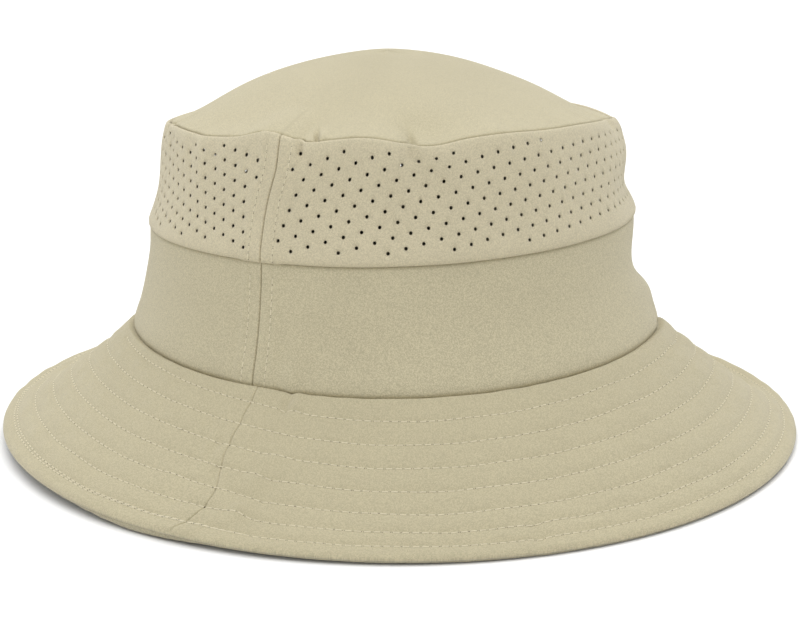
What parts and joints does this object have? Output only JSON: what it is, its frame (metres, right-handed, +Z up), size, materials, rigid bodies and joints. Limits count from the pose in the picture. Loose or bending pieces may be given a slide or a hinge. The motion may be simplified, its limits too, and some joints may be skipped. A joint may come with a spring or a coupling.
{
  "type": "boonie hat",
  "caption": "Khaki bucket-style sun hat: domed crown top, perforated vent band, plain side band and a wide sloping brim quilted with concentric stitch rows.",
  "frame": {"origin": "on the crown's axis, in the plane of the brim's lower edge", "axes": "+Z up along the crown's axis; the front of the hat faces -Y and the wearer's left side seam is at +X"},
  "size_m": [0.2898, 0.2974, 0.1336],
  "materials": {
    "shell_fabric": "light plain-weave nylon, matt with a faint sheen",
    "vent_fabric": "the same nylon, laser-perforated",
    "interlining": "non-woven stiffener, matt",
    "sweatband_fabric": "brushed moisture-wicking knit",
    "seam_tape": "plain woven binding tape",
    "label_fabric": "satin-woven blank label",
    "thread": "spun polyester sewing thread"
  },
  "bodies": {
    "root": {"crown_top": "shell_fabric", "vent_band_front": "vent_fabric", "vent_band_back": "vent_fabric", "side_band_front": "shell_fabric", "side_band_back": "shell_fabric", "brim_top_front": "shell_fabric", "brim_top_back": "shell_fabric", "brim_under_front": "shell_fabric", "brim_under_back": "shell_fabric", "brim_interlining_front": "interlining", "brim_interlining_back": "interlining", "sweatband": "sweatband_fabric", "sweatband_stitching": "thread", "crown_seam_tape": "seam_tape", "waist_seam_tape": "seam_tape", "side_seam_tape_left": "seam_tape", "side_seam_tape_right": "seam_tape", "vent_seam_tape_left": "seam_tape", "vent_seam_tape_right": "seam_tape", "care_label": "label_fabric", "brim_stitching": "thread", "side_stitching_left": "thread", "side_stitching_right": "thread"}
  },
  "joints": []
}
